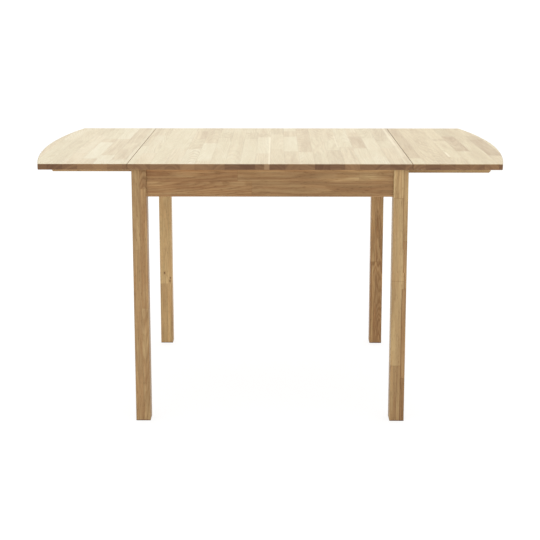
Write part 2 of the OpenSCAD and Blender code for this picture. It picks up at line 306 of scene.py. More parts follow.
@dataclass
class OakBoard:
    """Oiled oak of glued staves that run along one axis of a board.

    The board is cut into rows across the grain and each row into staves. Every stave is a
    piece of its own log: its growth rings are circles round a distant pith that leans a
    little, so the same formula draws arches on a face and arcs on an end. The places of a
    point across, along and into the board are a, g and t, and i and j number its row and
    its stave.
    """

    name: str                       # of the material
    node: str                       # whose box holds the board
    grain: int                      # axis along the grain
    across: int                     # axis across the rows
    start: float = 0.0              # where row 0 begins
    width: float = 0.0              # of a row, or 0 for the usual one
    length: float = 0.0             # of a stave, or 0 for the usual one
    bends: tuple = ()               # stretches where the glue lines step aside: low, high, step
    seed: float = 0.0               # of the random numbers
    end_seed: float | None = None   # of those of the end grain, if it has its own
    tone: float = 0.0               # added to every stave
    spread: float = 1.0             # of the tones of the staves
    end_spread: float = 1.0         # of the tones of their ends
    tint: tuple = (1.0, 1.0, 1.0)   # factors of the colour along the grain
    figure: float = 0.5             # strength of the rings
    wild: float = 1.0               # wobble of the rings
    top: bool = False               # whether its upper face gets the paler lit colours, painted light from above
    joint: float = 0.25             # darkness of the butt joints
    line: tuple = (0.0007, 0.30)    # reach and darkness of the glue lines
    staves: tuple = ()              # those listed
    end_tones: tuple = ()           # those listed: row and tone
    marks: object = None            # function that adds the marks of this board, with its painted shade and painted light

    def material(self):
        """The finished material, from the layout of the staves to bump and gloss."""
        m, self.w, shader = new_material(self.name)
        w = self.w
        self.settings = bpy.context.scene.table_oak
        self.width = self.width or self.settings.stave_width
        self.length = self.length or self.settings.stave_length
        self.face = TOP_FACE if self.top else FRAME_FACE
        self.measure()
        self.cut_rows()
        self.cut_staves()
        self.draw_rings()
        self.draw_fibres()
        shade = w.mix(self.end, self.long_grain(), self.end_grain())
        if self.marks:
            shade = self.marks(self, shade)
        glue = w.math("MAXIMUM", w.ease(self.side, self.line[0], 0.0002, 0.0, self.line[1]),
                      w.ease(self.tip, 0.0009, 0.0003, 0.0, self.joint))
        w.feed(shader.inputs["Base Color"], w.mix(glue, shade, GLUE, "MULTIPLY"))
        gloss = w.math("ADD", w.math("MULTIPLY", self.fine, 0.16),
                       w.math("ADD", w.math("MULTIPLY", self.end, 0.12), 0.34))
        w.feed(shader.inputs["Roughness"], gloss)
        shader.inputs["Specular IOR Level"].default_value = self.face.shine
        self.raise_grain(shader, glue)
        return m

    def measure(self):
        """Place of a point along, across and into the board, and where its face looks."""
        w = self.w
        axes = w.split(w.node("ShaderNodeTexCoord").outputs["Object"])
        depth = 3 - self.grain - self.across
        lo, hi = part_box(self.node)
        self.a, self.g = axes[self.across], axes[self.grain]
        self.t = w.math("SUBTRACT", axes[depth], (lo[depth] + hi[depth]) / 2)
        normal = w.split(w.node("ShaderNodeNewGeometry").outputs["True Normal"])
        self.up = w.ease(normal[2], 0.15, 0.75)
        self.end = w.ease(w.math("ABSOLUTE", normal[self.grain]), 0.55, 0.80)

    def cut_rows(self):
        """Number of the row, place across it, and distance to its nearer side."""
        w = self.w
        shifted = w.math("SUBTRACT", self.a, self.start)
        for low, high, step in self.bends:
            inside = w.math("COMPARE", self.g, (low + high) / 2, (high - low) / 2)
            shifted = w.math("MULTIPLY_ADD", inside, -step, shifted)
        row = w.math("DIVIDE", shifted, self.width)
        self.i = w.math("FLOOR", row)
        in_row = w.math("SUBTRACT", row, self.i)
        self.local = w.math("MULTIPLY", w.math("SUBTRACT", in_row, 0.5), self.width)
        nearer = w.math("MINIMUM", in_row, w.math("SUBTRACT", 1.0, in_row))
        self.side = w.math("MULTIPLY", nearer, self.width)

    def cut_staves(self):
        """Number of the stave along its row, distance to its nearer end, its look and log.

        The ends lie at whole values of q = q0 + 0.17 sin(3.7 q0), where q0 is the place
        along the row over the usual length, from a random start, so the lengths vary. Listed
        staves are cut into that and have numbers of their own, from the first one on.
        """
        w, seed, first, away = self.w, self.seed + 0.5, 61.0, 10.0
        by_row = w.chance(w.join(self.i, seed, 3.5))
        q0 = w.math("ADD", w.math("DIVIDE", self.g, self.length),
                    w.math("MULTIPLY", by_row[0], 7.0))
        q = w.math("ADD", q0, w.math("MULTIPLY", w.math("SINE", w.math("MULTIPLY", q0, 3.7)), 0.17))
        j = w.math("FLOOR", q)
        in_stave = w.math("SUBTRACT", q, j)
        nearer = w.math("MINIMUM", in_stave, w.math("SUBTRACT", 1.0, in_stave))
        tip = w.math("MULTIPLY", nearer, self.length)
        masks = []
        for k, stave in enumerate(self.staves):
            half = (stave.high - stave.low) / 2
            from_mid = w.math("SUBTRACT", self.g, (stave.low + stave.high) / 2)
            same = w.math("COMPARE", self.i, float(stave.row), 0.5)
            inside = w.math("MULTIPLY", same, w.math("COMPARE", from_mid, 0.0, half))
            j = w.math("MULTIPLY_ADD", inside, w.math("SUBTRACT", first + k, j), j)
            tip = w.math("MULTIPLY_ADD", inside, away, tip)
            gap = w.math("ABSOLUTE", w.math("SUBTRACT", w.math("ABSOLUTE", from_mid), half))
            gap = w.math("ADD", gap, w.math("MULTIPLY_ADD", same, -away, away))
            tip = w.math("MINIMUM", tip, gap)
            masks.append(inside)
        self.j, self.tip = j, tip

        rnd = w.chance(w.join(self.i, j, seed))
        more = w.chance(w.join(j, self.i, seed + 9.0))
        level = w.math("ADD", w.math("MULTIPLY", w.math("SUBTRACT", rnd[0], 0.5), self.spread), 0.5)
        figure = w.math("MULTIPLY", w.math("ADD", more[2], 0.4), self.figure)
        look = w.join(level, more[1], figure)
        log = w.join(w.math("MULTIPLY", w.math("SUBTRACT", rnd[1], 0.5), 0.11),
                     w.math("ADD", w.math("MULTIPLY", rnd[2], 0.085), 0.022),
                     w.math("MULTIPLY", w.math("SUBTRACT", more[0], 0.5), 0.10))
        for inside, stave in zip(masks, self.staves):
            look = w.mix(inside, look, (stave.tone, stave.red, stave.figure))
            if stave.log:
                log = w.mix(inside, log, stave.log)
        self.level, self.red, self.strength = w.split(look)
        self.log = w.split(log)

    def draw_rings(self):
        """Rings of growth: the distance to the pith, with a wobble, over the ring spacing.

        The start of each ring is early wood, and a slow noise over the rings gives bands.
        """
        w = self.w
        pith_across, pith_below, lean = self.log
        slope = w.math("MULTIPLY", self.g, lean)
        warp = w.noise(w.join(self.a, w.math("MULTIPLY", self.g, 0.16), self.t),
                       scale=22.0, detail=3.0)
        wobble = w.math("MULTIPLY", w.math("SUBTRACT", warp, 0.5), 0.0100 * self.wild)
        da = w.math("ADD", w.math("SUBTRACT", self.local, pith_across),
                    w.math("MULTIPLY", slope, 0.45))
        dt = w.math("ADD", w.math("ADD", self.t, pith_below), slope)
        radius = w.math("SQRT", w.math("ADD", w.math("MULTIPLY", da, da),
                                       w.math("MULTIPLY", dt, dt)))
        rings = w.math("DIVIDE", w.math("ADD", radius, wobble), self.settings.ring)
        saw = w.math("FRACT", rings)
        self.early = w.math("MULTIPLY", w.ease(saw, 0.0, 0.16), w.ease(saw, 0.72, 0.30))
        self.band = w.noise(w.join(w.math("MULTIPLY", rings, 0.37),
                                   w.math("MULTIPLY", self.i, 7.7),
                                   w.math("MULTIPLY", self.j, 3.1)), scale=1.0, detail=2.0)

    def grained(self, across, along, scale, detail, rough=0.5):
        """Noise that is drawn out along the grain."""
        w = self.w
        return w.noise(w.join(w.math("MULTIPLY", self.a, across), w.math("MULTIPLY", self.g, along),
                              w.math("MULTIPLY", self.t, across)), scale, detail, rough)

    def draw_fibres(self):
        """Fibres and streaks along the grain, pores in the early wood, broad bands and hue."""
        w = self.w
        self.fine = self.grained(across=62.0, along=2.3, scale=13.0, detail=3.0, rough=0.6)
        self.streak = self.grained(across=26.0, along=1.1, scale=9.0, detail=2.0)
        pore = w.ease(self.grained(across=30.0, along=3.4, scale=22.0, detail=1.0), 0.58, 0.70)
        in_early = w.math("ADD", w.math("MULTIPLY", self.early, 0.6), 0.4)
        self.pore = w.math("MULTIPLY", pore, in_early)
        own_place = w.math("ADD", w.math("MULTIPLY", self.a, 9.0), w.math("MULTIPLY", self.i, 3.1))
        self.broad = w.noise(w.join(own_place, w.math("MULTIPLY", self.g, 0.7),
                                    w.math("MULTIPLY", self.t, 9.0)),
                             scale=7.0, detail=3.0, rough=0.55)
        own_place = w.math("ADD", self.g, w.math("MULTIPLY", self.i, 2.7))
        self.hue = w.noise(w.join(w.math("MULTIPLY", self.a, 15.0), own_place,
                                  w.math("MULTIPLY", self.t, 15.0)), scale=9.0, detail=2.0)

    def long_grain(self):
        """Colour of faces along the grain: the stave's tone with bands, streaks and lines."""
        w, s, face = self.w, self.settings, self.face
        level = w.math("ADD", self.level, self.tone)
        level = w.math("MULTIPLY_ADD", w.math("SUBTRACT", self.broad, 0.5), face.broad, level)
        lift = w.math("MULTIPLY_ADD", self.strength, 0.45, 0.40)
        level = w.math("MULTIPLY_ADD", w.math("SUBTRACT", self.streak, 0.5), lift, level)
        level = w.math("MULTIPLY_ADD", w.math("SUBTRACT", self.band, 0.5), self.strength, level)
        shade = w.mix(w.ramp(level, 0.0, 0.5), s.deep, s.middle)
        shade = w.mix(w.ramp(level, 0.5, 1.25), shade, s.pale)
        # Painted light: the upper faces of a top take the paler lit colours, as if lit strongly
        # from above, while its sides keep the frame colours.
        if self.top:
            bright = w.mix(w.ramp(level, -0.5, 0.5), s.lit_top_deep, s.lit_top_middle)
            bright = w.mix(w.ramp(level, 0.5, 1.25), bright, s.lit_top_pale)
            shade = w.mix(self.up, shade, bright)
        red = w.math("MULTIPLY_ADD", w.math("SUBTRACT", self.hue, 0.5), 2.2, self.red, clamp=True)
        shade = w.mix(1.0, shade, w.mix(red, face.cool, face.warm), "MULTIPLY")
        shade = w.mix(1.0, shade, self.tint, "MULTIPLY")
        lines = w.math("ADD", w.math("MULTIPLY", self.strength, 0.30), 0.05)
        shade = w.mix(w.math("MULTIPLY", self.early, lines), shade, EARLY_WOOD, "MULTIPLY")
        shade = w.mix(w.ease(self.fine, 0.25, 0.75, 0.0, face.fibre), shade, FIBRE, "MULTIPLY")
        return w.mix(w.math("MULTIPLY", self.pore, face.pore), shade, PORE, "MULTIPLY")

    def end_grain(self):
        """Colour of the ends, where the fibres are cut across and drink more oil."""
        w, s = self.w, self.settings
        seed = self.seed if self.end_seed is None else self.end_seed
        tone = w.chance(w.join(self.i, seed + 0.5, 7.5))[0]
        tone = w.math("MULTIPLY_ADD", w.math("SUBTRACT", tone, 0.5), self.end_spread, 0.5)
        for row, value in self.end_tones:
            same = w.math("COMPARE", self.i, float(row), 0.5)
            tone = w.math("MULTIPLY_ADD", same, w.math("SUBTRACT", value, tone), tone)
        tone = w.math("ADD", tone, w.math("MULTIPLY", w.math("SUBTRACT", self.band, 0.5), 1.1))
        shade = w.mix(w.ease(tone, -0.1, 1.1), s.end_deep, s.end_pale)
        return w.mix(w.math("MULTIPLY", self.early, 0.45), shade, CUT_RINGS, "MULTIPLY")

    def raise_grain(self, shader, glue):
        """Bump of the fibres, with the early wood, the pores and the glue lines sunk."""
        w = self.w
        sunk = w.math("ADD", w.math("MULTIPLY", self.pore, -0.5), w.math("MULTIPLY", glue, -0.6))
        sunk = w.math("ADD", w.math("MULTIPLY", self.early, -0.35), sunk)
        bump = w.node("ShaderNodeBump")
        bump.inputs["Strength"].default_value = 0.16
        bump.inputs["Distance"].default_value = 0.0006
        w.feed(bump.inputs["Height"], w.math("ADD", w.math("MULTIPLY", self.fine, 0.45), sunk))
        w.feed(shader.inputs["Normal"], bump.outputs[0])

    def strip(self, left, right, low, high):
        """1 inside a narrow strip along the grain, with soft sides and ends."""
        w, half, fade = self.w, (right - left) / 2, 0.004
        off = w.math("ABSOLUTE", w.math("SUBTRACT", self.a, (left + right) / 2))
        along = w.math("MULTIPLY", w.ease(self.g, low, low + fade),
                       w.ease(self.g, high, high - fade))
        return w.math("MULTIPLY", w.ease(off, half, half * 0.55), along)


def dress(names, material):
    """Puts one material on every slot of the named nodes."""
    for n in names:
        o = NODES[n]
        if not o.material_slots:
            o.data.materials.append(material)
        for place in o.material_slots:
            place.material = material


def starting(*words):
    """Names of the nodes that start with one of the words."""
    return sorted(n for n in NODES if n.startswith(words))


# Marks that only some boards have, with painted shade and painted light

SAPWOOD = (0.70, 0.63, 0.46)
SAPWOOD_END = (0.330, 0.205, 0.105)
FLECK = (0.72, 0.65, 0.48)
SEAM_SHADE = (0.46, 0.32, 0.16)
FOOT_SHADE = (0.35, 0.26, 0.20)
KNOT_HALO = (0.50, 0.36, 0.24)
KNOT_CORE = (0.060, 0.032, 0.018)


def seam_shade(board, shade):
    """Painted shade of the gaps darkens the arrises beside the two seams."""
    w = board.w
    seam = (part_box("centre_top")[1].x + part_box("leaf_right")[0].x) / 2
    off = w.math("ABSOLUTE", w.math("SUBTRACT", w.math("ABSOLUTE", board.a), seam))
    # Painted shade: strongest on the faces along the grain, weaker on the ends
    amount = w.math("MULTIPLY", w.ease(off, 0.0021, 0.0008),
                    w.math("MULTIPLY_ADD", board.end, -0.35, 0.60))
    return w.mix(amount, shade, SEAM_SHADE, "MULTIPLY")


def centre_marks(board, shade):
    """Pale lines of sapwood at the middle, right of it and beside the right seam, and the painted
    shade at the seams.
    """
    w, thin = board.w, 0.0
    for left, right, low, high, share in ((-0.0055, 0.0005, -0.50, 0.168, 1.0),
                                          (0.3825, 0.3925, -0.02, 0.50, 0.8),
                                          (0.3825, 0.3925, -0.26, -0.02, 0.4),
                                          (0.2040, 0.2100, -0.07, 0.21, 0.6)):
        line = w.math("MULTIPLY", board.strip(left, right, low, high), share)
        thin = w.math("MAXIMUM", thin, line)
    shade = w.mix(w.math("MULTIPLY", w.math("MULTIPLY", thin, board.up), 0.50), shade, SAPWOOD)
    sawn = w.math("MULTIPLY", board.strip(-0.018, 0.0005, -0.5, 0.5), board.end)
    return seam_shade(board, w.mix(w.math("MULTIPLY", sawn, 0.75), shade, SAPWOOD_END))


def leaf_marks(board, shade):
    """A short pale fleck in one stave of the right leaf, and the painted shade at the seams."""
    w = board.w
    fleck = w.math("MULTIPLY", board.strip(0.519, 0.526, -0.26, -0.17), board.up)
    return seam_shade(board, w.mix(w.math("MULTIPLY", fleck, 0.60), shade, FLECK))


def apron_lightening(board, shade):
    """Painted light: the strip close below the top is lightened against the shade under the
    overhang, and the lower arris is made lighter.
    """
    w = board.w
    low, high = (c.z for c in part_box("apron_front"))
    painted_lift, lower_lift = (1.55, 1.55, 1.55), (1.18, 1.20, 1.26)
    # Painted light that lifts the shade under the overhang of the top
    shade = w.mix(w.ease(board.a, high - 0.014, high - 0.002), shade, painted_lift, "MULTIPLY")
    # The lower arris is made lighter
    return w.mix(w.ease(board.a, low + 0.005, low + 0.001), shade, lower_lift, "MULTIPLY")


def foot_shade(board, shade):
    """Painted shade: a dark line round the bottom of a leg, where it meets the floor."""
    w = board.w
    # Painted shade at the foot, darkest right at the floor
    return w.mix(w.ease(board.g, 0.0045, 0.0015, 0.0, 0.80), shade, FOOT_SHADE, "MULTIPLY")


def pin_knots(board, shade):
    """Three pin knots, small dark ovals with a brown halo, and the painted shade at the foot."""
    w = board.w
    for x, z, size in ((-0.3740, 0.255, 0.0022), (-0.3540, 0.237, 0.0018),
                       (-0.3556, 0.226, 0.0022)):
        up = w.math("MULTIPLY", w.math("SUBTRACT", board.g, z), 0.6)
        off = w.vector("LENGTH", w.join(w.math("SUBTRACT", board.a, x), up, 0.0))
        shade = w.mix(w.ease(off, size * 2.4, size, 0.0, 0.55), shade, KNOT_HALO, "MULTIPLY")
        shade = w.mix(w.ease(off, size, size * 0.5, 0.0, 0.85), shade, KNOT_CORE)
    return foot_shade(board, shade)


class TABLE_OT_finish_top(bpy.types.Operator):
    """Oiled staves of the centre top and of the two end leaves, along the depth of the table"""

    bl_idname = "table.finish_top"
    bl_label = "Finish the top"

    def execute(self, context):
        for board in (self.centre(), self.left(), self.right()):
            dress([board.node], board.material())
        return {"FINISHED"}

    def centre(self):
        return OakBoard(
            "oak centre top", "centre_top", grain=1, across=0, top=True, seed=11.0, tone=-0.05,
            spread=0.45, figure=0.50, end_seed=4992.0, end_spread=0.85, marks=centre_marks,
            end_tones=((-9, 0.55), (-8, 0.64), (-4, 0.60), (-3, 0.30), (-1, 0.32), (1, 0.48),
                       (2, 0.55), (6, 0.45), (8, 0.20)),
            staves=(
                Stave(1, -0.155, 0.180, 0.82, red=0.0, figure=0.20),
                Stave(6, -0.090, 0.185, 0.20, red=0.8, figure=0.50),
                Stave(7, -0.130, 0.145, 0.66, red=0.3, figure=0.20),
                Stave(-5, -0.340, 0.020, 0.85, red=0.0, figure=0.20),
                Stave(-4, 0.145, 0.270, 0.25),
                Stave(-2, 0.120, 0.200, 0.38),
                Stave(-1, -0.200, 0.165, 0.82, figure=0.25),
                Stave(2, -0.170, REAR, 0.22, red=0.8),
                Stave(-6, FRONT, -0.110, 0.95, figure=0.90, log=(0.004, 0.045, 0.060)),
                Stave(-6, -0.110, 0.120, 0.40, red=0.4),
                Stave(8, 0.075, REAR, 0.30, red=0.4),
                Stave(8, -0.080, 0.075, 0.45),
                Stave(1, FRONT, -0.155, 0.36, red=0.7),
                Stave(-3, FRONT, -0.060, 0.56, red=0.3),
                Stave(-3, -0.060, REAR, 0.50, red=0.3),
                Stave(-7, -0.100, REAR, 0.77, red=0.0),
                Stave(-8, FRONT, 0.300, 0.65),
                Stave(-10, FRONT, -0.040, 0.80),
                Stave(-2, FRONT, 0.120, 0.70),
                Stave(-4, FRONT, 0.060, 0.60),
                Stave(4, FRONT, -0.130, 0.28, red=0.4),
                Stave(5, -0.060, REAR, 0.66),
                Stave(6, FRONT, -0.090, 0.62, red=0.2)))

    def left(self):
        return OakBoard(
            "oak left leaf", "leaf_left", grain=1, across=0, top=True, start=-0.455, width=0.0425,
            seed=31.0, spread=0.40, figure=0.30, end_spread=0.75, tint=(1.005, 1.015, 1.035),
            marks=leaf_marks,
            end_tones=((-4, 0.22), (-3, 0.50), (-2, 0.75), (-1, 0.95), (0, 0.58), (1, 0.52)),
            staves=(
                Stave(-2, -0.300, 0.040, 0.99, red=0.0, figure=0.15),
                Stave(-1, -0.235, 0.115, 0.38, red=0.8, figure=0.45),
                Stave(-1, 0.115, REAR, 0.78, red=0.2, figure=0.25),
                Stave(0, -0.320, 0.020, 0.33, red=0.7, figure=0.55),
                Stave(0, 0.020, REAR, 0.20, red=0.7, figure=0.45),
                Stave(-1, FRONT, -0.235, 0.90, figure=0.20)))

    def right(self):
        return OakBoard(
            "oak right leaf", "leaf_right", grain=1, across=0, top=True, start=0.436, width=0.041,
            seed=47.0, tone=-0.20, spread=0.45, figure=0.40, end_spread=0.45,
            tint=(0.990, 0.985, 0.940), marks=leaf_marks, end_tones=((-1, 0.52),),
            staves=(
                Stave(-1, -0.290, REAR, 0.29, red=0.9, figure=0.45),
                Stave(-1, FRONT, -0.290, 0.74, red=0.4, figure=0.20),
                Stave(2, -0.270, 0.075, 0.66, red=0.6),
                Stave(3, -0.150, 0.185, 0.12, red=1.0, figure=0.50),
                Stave(3, FRONT, -0.150, 0.69, red=0.5, figure=0.20),
                Stave(5, -0.235, 0.110, -0.20, red=0.7),
                Stave(4, FRONT, 0.050, 0.47, red=0.5, figure=0.40),
                Stave(4, 0.050, REAR, 0.43, red=0.6, figure=0.40),
                Stave(1, FRONT, REAR, 0.53, red=0.9, figure=0.50),
                Stave(0, FRONT, REAR, 0.54, red=0.9, figure=0.50)))


class TABLE_OT_finish_aprons(bpy.types.Operator):
    """Long staves of the aprons and the cross rail"""

    bl_idname = "table.finish_aprons"
    bl_label = "Finish the aprons"

    def execute(self, context):
        glue_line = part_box("apron_front")[0].z + 0.044
        look = dict(across=2, start=glue_line, width=0.045, length=0.36, tone=-0.10, spread=0.25,
                    figure=0.8, wild=1.3, marks=apron_lightening)
        front = OakBoard(
            "oak front apron", "apron_front", grain=0, seed=5.0, **look, staves=(
                Stave(0, LEFT, -0.091, 0.34, red=0.8, figure=1.00, log=(-0.030, 0.055, 0.010)),
                Stave(0, -0.091, 0.251, 0.59, red=0.4, figure=0.80, log=(-0.020, 0.060, 0.020)),
                Stave(0, 0.251, RIGHT, 0.56, red=0.3, figure=0.70, log=(-0.020, 0.060, -0.060)),
                Stave(-1, LEFT, -0.051, 0.44, red=0.7, figure=1.00, log=(0.016, 0.070, 0.050)),
                Stave(-1, -0.051, RIGHT, 0.43, red=0.3, figure=0.80, log=(-0.045, 0.050, 0.010))))
        dress(["apron_front"], front.material())
        for k, name in enumerate(("apron_rear", "apron_left", "apron_right", "cross_rail")):
            board = OakBoard("oak " + name.replace("_", " "), name, seed=15.0 + 8 * k,
                             grain=0 if name == "apron_rear" else 1, **look)
            dress([name], board.material())
        return {"FINISHED"}


class TABLE_OT_finish_legs(bpy.types.Operator):
    """Upright staves of the four legs"""

    bl_idname = "table.finish_legs"
    bl_label = "Finish the legs"

    def execute(self, context):
        for board in (self.front_left(), self.front_right(), self.rear_left(), self.rear_right()):
            dress([board.node], board.material())
        return {"FINISHED"}

    def front_left(self):
        return OakBoard(
            "oak front left leg", "leg_front_left", grain=2, across=0, start=-0.3675, width=0.042,
            seed=60.0, tint=(1.01, 1.02, 1.035), marks=foot_shade, staves=(
                Stave(-1, 0.510, HEAD, 0.57, red=0.0, figure=0.35),
                Stave(-1, FOOT, 0.510, 0.56, red=0.3, figure=0.45),
                Stave(0, 0.687, HEAD, 0.34, red=0.5, figure=1.20, log=(0.040, 0.030, 0.120)),
                Stave(0, 0.339, 0.687, 0.50, red=0.6, figure=0.80),
                Stave(0, FOOT, 0.339, 0.56, figure=0.80)))

    def front_right(self):
        return OakBoard(
            "oak front right leg", "leg_front_right", grain=2, across=0, start=0.3775, width=0.042,
            bends=((0.445, 0.513, 0.003), (0.397, 0.445, 0.006)), joint=0.5, line=(0.0012, 0.85),
            seed=67.0, tint=(0.99, 1.01, 1.03), marks=foot_shade, staves=(
                Stave(-1, 0.661, HEAD, 1.02, figure=1.20, log=(-0.013, 0.0506, -0.060)),
                Stave(-1, 0.420, 0.661, 0.74, figure=0.25),
                Stave(-1, 0.168, 0.420, 0.72, red=0.0, figure=0.25),
                Stave(-1, FOOT, 0.168, 0.52, red=0.2, figure=0.80),
                Stave(0, 0.536, HEAD, 0.78, figure=1.10, log=(0.020, 0.030, 0.010)),
                Stave(0, 0.397, 0.536, 0.54, red=0.7, figure=0.90),
                Stave(0, 0.130, 0.397, 0.43, red=0.7, figure=0.70),
                Stave(0, FOOT, 0.130, 0.12, red=0.5, figure=0.80)))

    def rear_left(self):
        return OakBoard(
            "oak rear left leg", "leg_rear_left", grain=2, across=0, start=-0.41, width=0.09,
            seed=74.0, marks=pin_knots, staves=(
                Stave(0, 0.216, HEAD, 1.07, red=0.2, figure=0.50, log=(0.002, 0.024, 0.035)),
                Stave(0, FOOT, 0.216, 0.85, red=0.3, figure=1.20)))

    def rear_right(self):
        return OakBoard(
            "oak rear right leg", "leg_rear_right", grain=2, across=0, start=0.33, width=0.09,
            seed=81.0, wild=3.0, marks=foot_shade, staves=(
                Stave(0, 0.297, HEAD, 0.68, red=0.6, figure=1.50, log=(0.008, 0.014, 0.050)),
                Stave(0, FOOT, 0.297, 0.34, red=0.7, figure=1.50, log=(0.004, 0.024, 0.060))))


class TABLE_OT_finish_bars(bpy.types.Operator):
    """Long grain of the sliding bars and turned grain of the dowels and stop pins"""

    bl_idname = "table.finish_bars"
    bl_label = "Finish the bars"

    def execute(self, context):
        look = dict(start=-0.55, width=0.11, length=0.9, spread=0.2, figure=0.3)
        bar = OakBoard("oak bar", "bar_right_front", grain=0, across=1, seed=91.0, tone=0.42,
                       **look)
        dowel = OakBoard("beech dowel", "dowel_right_front", grain=0, across=1, seed=95.0, tone=0.5,
                         **look)
        pin = OakBoard("beech pin", "in_stop_right_front", grain=2, across=0, seed=97.0, tone=0.5,
                       **look)
        dress(starting("bar_"), bar.material())
        dress(starting("dowel_"), dowel.material())
        dress(starting("out_stop", "in_stop"), pin.material())
        return {"FINISHED"}


# Steel

def zinc(name, brightness=1.0):
    """Plated steel: clouded spangle, faint rolling lines and small scuffs."""
    s = bpy.context.scene.table_steel
    m, w, shader = new_material(name)
    place = w.node("ShaderNodeTexCoord").outputs["Object"]
    cloud = w.noise(place, scale=95.0, detail=3.0)
    spangle = w.node("ShaderNodeTexVoronoi", feature="F1")
    w.feed(spangle.inputs["Vector"], place)
    spangle.inputs["Scale"].default_value = 330.0
    grain = w.split(spangle.outputs["Color"])[0]
    amount = w.math("ADD", w.math("MULTIPLY", cloud, 0.7), w.math("MULTIPLY", grain, 0.3))
    dull, bright = (tuple(c * brightness for c in colour) for colour in (s.dull, s.zinc))
    w.feed(shader.inputs["Base Color"], w.mix(w.ease(amount, 0.3, 0.7), dull, bright))
    shader.inputs["Metallic"].default_value = 1.0
    scuff = w.noise(w.vector("MULTIPLY", place, (1.0, 1.0, 14.0)), scale=120.0, detail=2.0)
    rough = w.math("ADD", w.math("MULTIPLY", grain, 0.06), 0.25)
    w.feed(shader.inputs["Roughness"], w.math("ADD", w.math("MULTIPLY", scuff, 0.22), rough))
    bump = w.node("ShaderNodeBump")
    bump.inputs["Strength"].default_value = 0.10
    bump.inputs["Distance"].default_value = 0.0003
    w.feed(bump.inputs["Height"], scuff)
    w.feed(shader.inputs["Normal"], bump.outputs[0])
    return m


class TABLE_OT_finish_steel(bpy.types.Operator):
    """Zinc plating of the corner plates, brackets, bolts and nuts"""

    bl_idname = "table.finish_steel"
    bl_label = "Finish the steel"

    def execute(self, context):
        dress(starting("corner_plate", "bracket"), zinc("zinc sheet"))
        dress(starting("hanger_bolt", "nut"), zinc("zinc bolt", 1.12))
        return {"FINISHED"}


# Screws

def screw_grid(s, rings=15, sides=24):
    """A pan head with a cross recess and a short shank, along +Z from the seat at z = 0.

    Points lie on rings of a polar grid. A ring's height follows a rounded dome, which rises
    from the rim by (1 - (r / R) ** 4) ** 0.5, less a cross whose arms are narrow bands round
    the two diameters, and the grid then runs down the rim, under the head and down the shank.
    """
    big, thin, rise = s.head / 2, s.shank / 2, s.rise
    rim, below = 0.35 * rise, 0.0018
    recess, arm, reach = 0.0011, 0.0007, 0.0022
    turn = np.linspace(0, 2 * np.pi, sides, endpoint=False)
    part = np.linspace(0, 1, rings)[1:]
    r = (big * np.sin(part * np.pi / 2))[:, None] * np.ones(sides)
    z = rim + (rise - rim) * np.sqrt(np.clip(1 - (r / big) ** 4, 0, 1))
    x, y = r * np.cos(turn), r * np.sin(turn)
    cross = np.maximum(np.exp(-((x / arm) ** 4)) * (np.abs(y) < reach),
                       np.exp(-((y / arm) ** 4)) * (np.abs(x) < reach))
    z = z - recess * cross
    skirt = np.array([[big, 0.0], [thin, 0.0], [thin, -below]])
    sx = skirt[:, :1] * np.cos(turn)
    sy = skirt[:, :1] * np.sin(turn)
    sz = skirt[:, 1:] * np.ones(sides)
    pts = np.stack([np.vstack([x, sx]), np.vstack([y, sy]), np.vstack([z, sz])], axis=2)
    n = len(pts)
    pts = np.vstack([pts.reshape(-1, 3), [[0, 0, rise - recess]], [[0, 0, -below]]])
    k = np.arange(sides)
    nxt = (k + 1) % sides
    i = np.arange(n - 1)[:, None] * sides
    quads = np.stack([i + k, i + sides + k, i + sides + nxt, i + nxt], axis=2).reshape(-1, 4)
    top = np.stack([np.full(sides, n * sides), k, nxt], axis=1)
    base = (n - 1) * sides
    end = np.stack([np.full(sides, n * sides + 1), base + nxt, base + k], axis=1)
    return pts, [tuple(f) for f in quads.tolist() + top.tolist() + end.tolist()]


def place_screws(name, seats, material):
    """Copies the screw to each seat, a point and an outward direction, in one mesh.

    Each is spun by another angle, so that the recesses don't line up.
    """
    pts, faces = screw_grid(bpy.context.scene.table_screw)
    verts, all_faces = [], []
    for k, (at, out) in enumerate(seats):
        spin = Matrix.Rotation(0.7 + k, 3, "Z")
        turn = Vector(out).to_track_quat("Z", "Y").to_matrix() @ spin
        verts.append(pts @ np.array(turn).T + np.array(at))
        all_faces += [tuple(v + k * len(pts) for v in f) for f in faces]
    mesh = bpy.data.meshes.new(name)
    mesh.from_pydata(np.vstack(verts).tolist(), [], all_faces)
    mesh.update()
    mesh.materials.append(material)
    o = bpy.data.objects.new(name, mesh)
    bpy.context.scene.collection.objects.link(o)
    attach(o, "frame")


